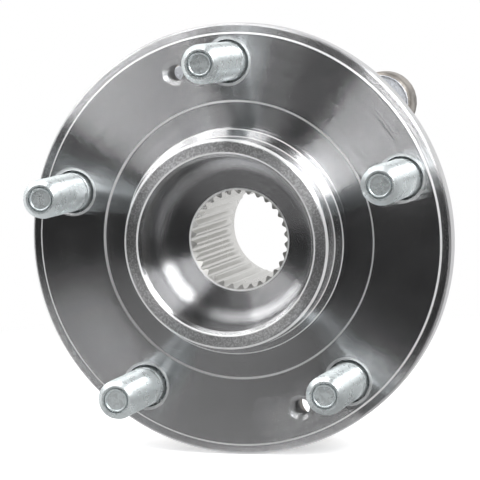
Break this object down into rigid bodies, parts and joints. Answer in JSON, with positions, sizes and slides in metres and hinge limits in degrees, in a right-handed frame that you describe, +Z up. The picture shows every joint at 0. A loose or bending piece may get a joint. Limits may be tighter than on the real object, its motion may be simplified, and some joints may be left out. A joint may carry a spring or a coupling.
{
  "type": "wheel hub bearing",
  "caption": "Flanged wheel hub with pressed studs and a splined bore, turning in a fixed double-row ball bearing ring with knuckle ears.",
  "frame": {"origin": "on the wheel axis, in the plane of the brake disc face", "axes": "-Y out of the nose towards the wheel, +Y towards the vehicle, +Z up"},
  "size_m": [0.1308, 0.084, 0.1308],
  "materials": {
    "turned_hub_steel": "bright turned steel, near mirror, with fine tool marks",
    "ground_race_steel": "ground bearing steel",
    "forged_ring_steel": "forged brown-grey steel, turned at the ends and ear faces",
    "zinc_plated_steel": "bright blue-white zinc plating on rolled threads",
    "polished_ball_steel": "polished bearing steel",
    "cage_plastic": "natural moulded polyamide",
    "pressed_seal_steel": "pressed sheet steel, lightly yellow-grey",
    "seal_rubber": "black moulded rubber",
    "encoder_rubber": "dark brown-black magnetic rubber"
  },
  "bodies": {
    "outer": {"outer_ring": "forged_ring_steel", "seal_outboard_case": "pressed_seal_steel", "seal_outboard_lip": "seal_rubber", "seal_inboard_case": "pressed_seal_steel", "seal_inboard_lip": "seal_rubber"},
    "hub": {"hub_flange": "turned_hub_steel", "inner_ring": "ground_race_steel", "seal_inboard_slinger": "pressed_seal_steel", "encoder_ring": "encoder_rubber", "wheel_stud_1": "zinc_plated_steel", "wheel_stud_2": "zinc_plated_steel", "wheel_stud_3": "zinc_plated_steel", "wheel_stud_4": "zinc_plated_steel", "wheel_stud_5": "zinc_plated_steel"},
    "cage_outboard": {"cage_outboard": "cage_plastic"},
    "ball_outboard_01": {"ball_outboard_01": "polished_ball_steel"},
    "ball_outboard_02": {"ball_outboard_02": "polished_ball_steel"},
    "ball_outboard_03": {"ball_outboard_03": "polished_ball_steel"},
    "ball_outboard_04": {"ball_outboard_04": "polished_ball_steel"},
    "ball_outboard_05": {"ball_outboard_05": "polished_ball_steel"},
    "ball_outboard_06": {"ball_outboard_06": "polished_ball_steel"},
    "ball_outboard_07": {"ball_outboard_07": "polished_ball_steel"},
    "ball_outboard_08": {"ball_outboard_08": "polished_ball_steel"},
    "ball_outboard_09": {"ball_outboard_09": "polished_ball_steel"},
    "ball_outboard_10": {"ball_outboard_10": "polished_ball_steel"},
    "ball_outboard_11": {"ball_outboard_11": "polished_ball_steel"},
    "ball_outboard_12": {"ball_outboard_12": "polished_ball_steel"},
    "ball_outboard_13": {"ball_outboard_13": "polished_ball_steel"},
    "cage_inboard": {"cage_inboard": "cage_plastic"},
    "ball_inboard_01": {"ball_inboard_01": "polished_ball_steel"},
    "ball_inboard_02": {"ball_inboard_02": "polished_ball_steel"},
    "ball_inboard_03": {"ball_inboard_03": "polished_ball_steel"},
    "ball_inboard_04": {"ball_inboard_04": "polished_ball_steel"},
    "ball_inboard_05": {"ball_inboard_05": "polished_ball_steel"},
    "ball_inboard_06": {"ball_inboard_06": "polished_ball_steel"},
    "ball_inboard_07": {"ball_inboard_07": "polished_ball_steel"},
    "ball_inboard_08": {"ball_inboard_08": "polished_ball_steel"},
    "ball_inboard_09": {"ball_inboard_09": "polished_ball_steel"},
    "ball_inboard_10": {"ball_inboard_10": "polished_ball_steel"},
    "ball_inboard_11": {"ball_inboard_11": "polished_ball_steel"},
    "ball_inboard_12": {"ball_inboard_12": "polished_ball_steel"},
    "ball_inboard_13": {"ball_inboard_13": "polished_ball_steel"}
  },
  "joints": [
    {"name": "hub_spin", "type": "hinge", "parent": "outer", "child": "hub", "pos_m": [0, 0, 0], "axis": [0, 1, 0], "continuous": true},
    {"name": "cage_outboard_spin", "type": "hinge", "parent": "outer", "child": "cage_outboard", "pos_m": [0, 0.0225, 0], "axis": [0, 1, 0], "continuous": true},
    {"name": "ball_outboard_01_spin", "type": "hinge", "parent": "cage_outboard", "child": "ball_outboard_01", "pos_m": [0.0301, 0.0225, 0.00742], "axis": [-0.6241, 0.766, -0.1538], "continuous": true},
    {"name": "ball_outboard_02_spin", "type": "hinge", "parent": "cage_outboard", "child": "ball_outboard_02", "pos_m": [0.0232, 0.0225, 0.02056], "axis": [-0.4811, 0.766, -0.4262], "continuous": true},
    {"name": "ball_outboard_03_spin", "type": "hinge", "parent": "cage_outboard", "child": "ball_outboard_03", "pos_m": [0.01099, 0.0225, 0.02899], "axis": [-0.2279, 0.766, -0.601], "continuous": true},
    {"name": "ball_outboard_04_spin", "type": "hinge", "parent": "cage_outboard", "child": "ball_outboard_04", "pos_m": [-0.00374, 0.0225, 0.03077], "axis": [0.0775, 0.766, -0.6381], "continuous": true},
    {"name": "ball_outboard_05_spin", "type": "hinge", "parent": "cage_outboard", "child": "ball_outboard_05", "pos_m": [-0.01761, 0.0225, 0.02551], "axis": [0.3651, 0.766, -0.529], "continuous": true},
    {"name": "ball_outboard_06_spin", "type": "hinge", "parent": "cage_outboard", "child": "ball_outboard_06", "pos_m": [-0.02745, 0.0225, 0.01441], "axis": [0.5692, 0.766, -0.2987], "continuous": true},
    {"name": "ball_outboard_07_spin", "type": "hinge", "parent": "cage_outboard", "child": "ball_outboard_07", "pos_m": [-0.031, 0.0225, 0], "axis": [0.6428, 0.766, 0], "continuous": true},
    {"name": "ball_outboard_08_spin", "type": "hinge", "parent": "cage_outboard", "child": "ball_outboard_08", "pos_m": [-0.02745, 0.0225, -0.01441], "axis": [0.5692, 0.766, 0.2987], "continuous": true},
    {"name": "ball_outboard_09_spin", "type": "hinge", "parent": "cage_outboard", "child": "ball_outboard_09", "pos_m": [-0.01761, 0.0225, -0.02551], "axis": [0.3651, 0.766, 0.529], "continuous": true},
    {"name": "ball_outboard_10_spin", "type": "hinge", "parent": "cage_outboard", "child": "ball_outboard_10", "pos_m": [-0.00374, 0.0225, -0.03077], "axis": [0.0775, 0.766, 0.6381], "continuous": true},
    {"name": "ball_outboard_11_spin", "type": "hinge", "parent": "cage_outboard", "child": "ball_outboard_11", "pos_m": [0.01099, 0.0225, -0.02899], "axis": [-0.2279, 0.766, 0.601], "continuous": true},
    {"name": "ball_outboard_12_spin", "type": "hinge", "parent": "cage_outboard", "child": "ball_outboard_12", "pos_m": [0.0232, 0.0225, -0.02056], "axis": [-0.4811, 0.766, 0.4262], "continuous": true},
    {"name": "ball_outboard_13_spin", "type": "hinge", "parent": "cage_outboard", "child": "ball_outboard_13", "pos_m": [0.0301, 0.0225, -0.00742], "axis": [-0.6241, 0.766, 0.1538], "continuous": true},
    {"name": "cage_inboard_spin", "type": "hinge", "parent": "outer", "child": "cage_inboard", "pos_m": [0, 0.0405, 0], "axis": [0, 1, 0], "continuous": true},
    {"name": "ball_inboard_01_spin", "type": "hinge", "parent": "cage_inboard", "child": "ball_inboard_01", "pos_m": [0.0301, 0.0405, 0.00742], "axis": [0.6241, 0.766, 0.1538], "continuous": true},
    {"name": "ball_inboard_02_spin", "type": "hinge", "parent": "cage_inboard", "child": "ball_inboard_02", "pos_m": [0.0232, 0.0405, 0.02056], "axis": [0.4811, 0.766, 0.4262], "continuous": true},
    {"name": "ball_inboard_03_spin", "type": "hinge", "parent": "cage_inboard", "child": "ball_inboard_03", "pos_m": [0.01099, 0.0405, 0.02899], "axis": [0.2279, 0.766, 0.601], "continuous": true},
    {"name": "ball_inboard_04_spin", "type": "hinge", "parent": "cage_inboard", "child": "ball_inboard_04", "pos_m": [-0.00374, 0.0405, 0.03077], "axis": [-0.0775, 0.766, 0.6381], "continuous": true},
    {"name": "ball_inboard_05_spin", "type": "hinge", "parent": "cage_inboard", "child": "ball_inboard_05", "pos_m": [-0.01761, 0.0405, 0.02551], "axis": [-0.3651, 0.766, 0.529], "continuous": true},
    {"name": "ball_inboard_06_spin", "type": "hinge", "parent": "cage_inboard", "child": "ball_inboard_06", "pos_m": [-0.02745, 0.0405, 0.01441], "axis": [-0.5692, 0.766, 0.2987], "continuous": true},
    {"name": "ball_inboard_07_spin", "type": "hinge", "parent": "cage_inboard", "child": "ball_inboard_07", "pos_m": [-0.031, 0.0405, 0], "axis": [-0.6428, 0.766, 0], "continuous": true},
    {"name": "ball_inboard_08_spin", "type": "hinge", "parent": "cage_inboard", "child": "ball_inboard_08", "pos_m": [-0.02745, 0.0405, -0.01441], "axis": [-0.5692, 0.766, -0.2987], "continuous": true},
    {"name": "ball_inboard_09_spin", "type": "hinge", "parent": "cage_inboard", "child": "ball_inboard_09", "pos_m": [-0.01761, 0.0405, -0.02551], "axis": [-0.3651, 0.766, -0.529], "continuous": true},
    {"name": "ball_inboard_10_spin", "type": "hinge", "parent": "cage_inboard", "child": "ball_inboard_10", "pos_m": [-0.00374, 0.0405, -0.03077], "axis": [-0.0775, 0.766, -0.6381], "continuous": true},
    {"name": "ball_inboard_11_spin", "type": "hinge", "parent": "cage_inboard", "child": "ball_inboard_11", "pos_m": [0.01099, 0.0405, -0.02899], "axis": [0.2279, 0.766, -0.601], "continuous": true},
    {"name": "ball_inboard_12_spin", "type": "hinge", "parent": "cage_inboard", "child": "ball_inboard_12", "pos_m": [0.0232, 0.0405, -0.02056], "axis": [0.4811, 0.766, -0.4262], "continuous": true},
    {"name": "ball_inboard_13_spin", "type": "hinge", "parent": "cage_inboard", "child": "ball_inboard_13", "pos_m": [0.0301, 0.0405, -0.00742], "axis": [0.6241, 0.766, -0.1538], "continuous": true}
  ],
  "couplings": [
    {"joint": "cage_outboard_spin", "follows": "hub_spin", "ratio": 0.42154},
    {"joint": "ball_outboard_01_spin", "follows": "hub_spin", "ratio": -2.3807},
    {"joint": "ball_outboard_02_spin", "follows": "hub_spin", "ratio": -2.3807},
    {"joint": "ball_outboard_03_spin", "follows": "hub_spin", "ratio": -2.3807},
    {"joint": "ball_outboard_04_spin", "follows": "hub_spin", "ratio": -2.3807},
    {"joint": "ball_outboard_05_spin", "follows": "hub_spin", "ratio": -2.3807},
    {"joint": "ball_outboard_06_spin", "follows": "hub_spin", "ratio": -2.3807},
    {"joint": "ball_outboard_07_spin", "follows": "hub_spin", "ratio": -2.3807},
    {"joint": "ball_outboard_08_spin", "follows": "hub_spin", "ratio": -2.3807},
    {"joint": "ball_outboard_09_spin", "follows": "hub_spin", "ratio": -2.3807},
    {"joint": "ball_outboard_10_spin", "follows": "hub_spin", "ratio": -2.3807},
    {"joint": "ball_outboard_11_spin", "follows": "hub_spin", "ratio": -2.3807},
    {"joint": "ball_outboard_12_spin", "follows": "hub_spin", "ratio": -2.3807},
    {"joint": "ball_outboard_13_spin", "follows": "hub_spin", "ratio": -2.3807},
    {"joint": "cage_inboard_spin", "follows": "hub_spin", "ratio": 0.42154},
    {"joint": "ball_inboard_01_spin", "follows": "hub_spin", "ratio": -2.3807},
    {"joint": "ball_inboard_02_spin", "follows": "hub_spin", "ratio": -2.3807},
    {"joint": "ball_inboard_03_spin", "follows": "hub_spin", "ratio": -2.3807},
    {"joint": "ball_inboard_04_spin", "follows": "hub_spin", "ratio": -2.3807},
    {"joint": "ball_inboard_05_spin", "follows": "hub_spin", "ratio": -2.3807},
    {"joint": "ball_inboard_06_spin", "follows": "hub_spin", "ratio": -2.3807},
    {"joint": "ball_inboard_07_spin", "follows": "hub_spin", "ratio": -2.3807},
    {"joint": "ball_inboard_08_spin", "follows": "hub_spin", "ratio": -2.3807},
    {"joint": "ball_inboard_09_spin", "follows": "hub_spin", "ratio": -2.3807},
    {"joint": "ball_inboard_10_spin", "follows": "hub_spin", "ratio": -2.3807},
    {"joint": "ball_inboard_11_spin", "follows": "hub_spin", "ratio": -2.3807},
    {"joint": "ball_inboard_12_spin", "follows": "hub_spin", "ratio": -2.3807},
    {"joint": "ball_inboard_13_spin", "follows": "hub_spin", "ratio": -2.3807}
  ]
}
